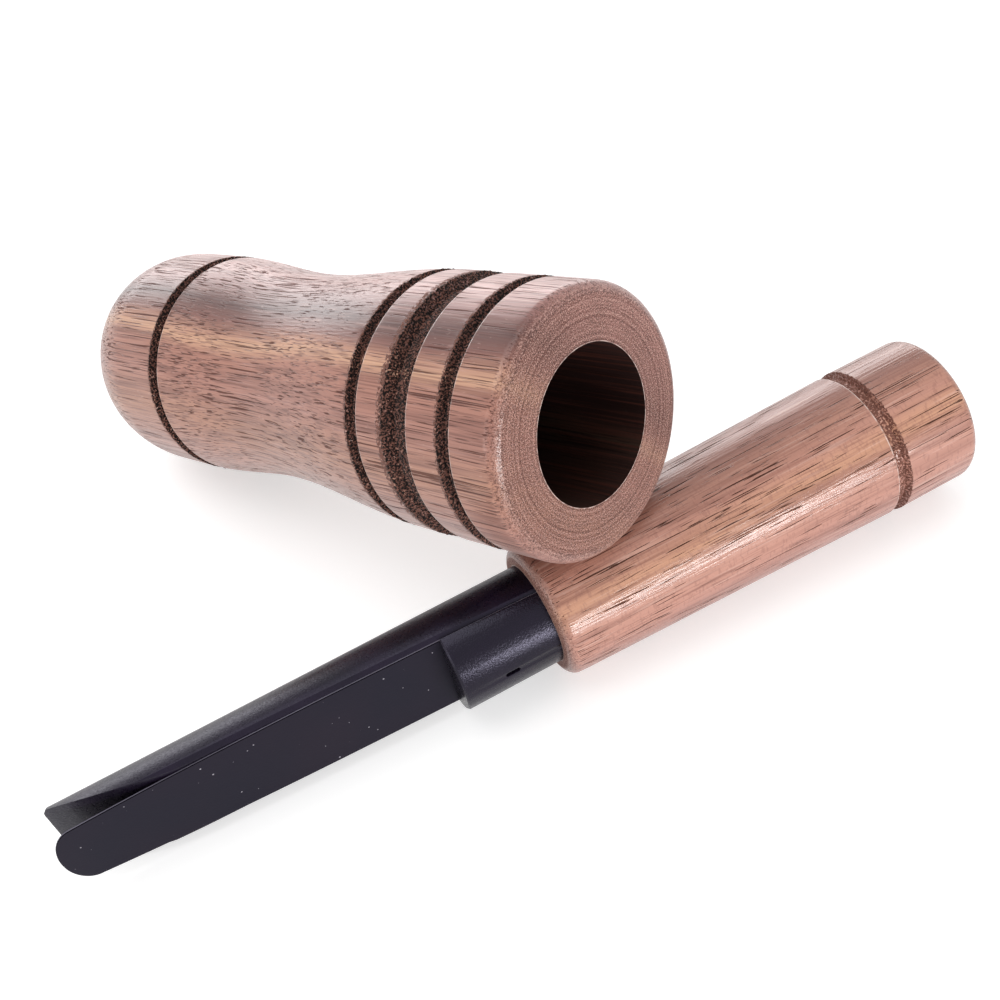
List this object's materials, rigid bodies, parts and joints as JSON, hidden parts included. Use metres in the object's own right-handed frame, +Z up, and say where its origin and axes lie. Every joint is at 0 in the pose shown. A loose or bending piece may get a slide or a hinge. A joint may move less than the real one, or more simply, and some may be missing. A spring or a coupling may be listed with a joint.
{
  "type": "bird call",
  "caption": "Turned walnut bird call shown pulled apart: the grooved barrel leans on the tapered end piece, whose black plastic cartridge holds a tone board, reed and wedge.",
  "frame": {"origin": "on the surface that the call lies on, under the middle of the box round both halves as they lie", "axes": "+X along the end piece from its cartridge towards its far end, +Y towards the barrel's mouth end, +Z up"},
  "size_m": [0.1192, 0.0877, 0.0489],
  "materials": {
    "walnut": "oiled and lacquered walnut, satin",
    "cartridge_plastic": "black moulded plastic, fine grain, low sheen",
    "reed_film": "black polyester film, satin"
  },
  "bodies": {
    "end_piece": {"end_piece": "walnut"},
    "barrel": {"barrel": "walnut"},
    "tone_board": {"tone_board": "cartridge_plastic"},
    "wedge": {"wedge": "cartridge_plastic"},
    "reed": {"reed": "reed_film"}
  },
  "joints": [
    {"name": "barrel_lift", "type": "slide", "parent": "end_piece", "child": "barrel", "axis": [0, 0, 1], "range_m": [0, 0.06]},
    {"name": "cartridge_pull", "type": "slide", "parent": "end_piece", "child": "tone_board", "axis": [-0.9998, 0, -0.0216], "range_m": [0, 0.022]},
    {"name": "wedge_pull", "type": "slide", "parent": "tone_board", "child": "wedge", "axis": [-0.9998, 0, -0.0216], "range_m": [0, 0.02]},
    {"name": "reed_flex", "type": "hinge", "parent": "tone_board", "child": "reed", "pos_m": [-0.04169, -0.03461, 0.00768], "axis": [-0.0216, 0.0349, 0.9992], "range_deg": [-10, 3], "stiffness_Nm_per_rad": 0.006, "deforming": ["reed"]}
  ]
}
